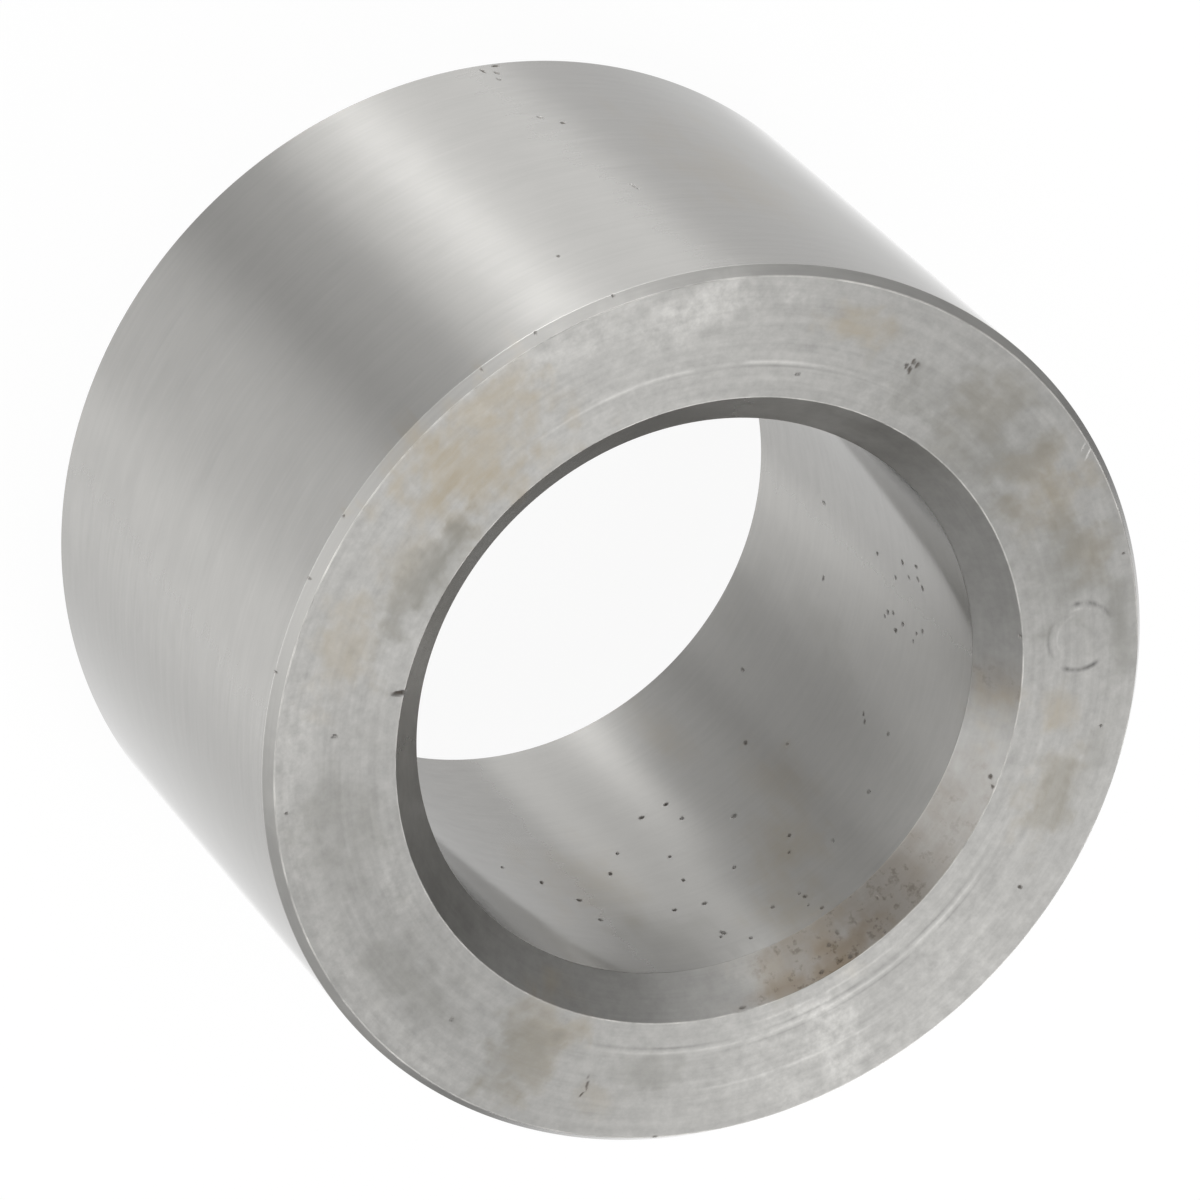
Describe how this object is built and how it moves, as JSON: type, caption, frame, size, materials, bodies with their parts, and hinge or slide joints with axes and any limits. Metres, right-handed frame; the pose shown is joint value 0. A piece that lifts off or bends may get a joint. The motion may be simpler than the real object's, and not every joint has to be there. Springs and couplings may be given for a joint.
{
  "type": "bushing",
  "caption": "Plain thick-walled steel bushing with a ground bore and outside, a cone leading into the bore at both ends and a narrow sloped outer edge for pressing in.",
  "frame": {"origin": "centre of the end face that the bushing stands on", "axes": "+Z along the axis of the bore, up out of the end face that the picture shows; X and Y are free, as the bushing is round"},
  "size_m": [0.063, 0.063, 0.042],
  "materials": {
    "ground_steel": "satin"
  },
  "bodies": {
    "root": {"bushing": "ground_steel"}
  },
  "joints": []
}
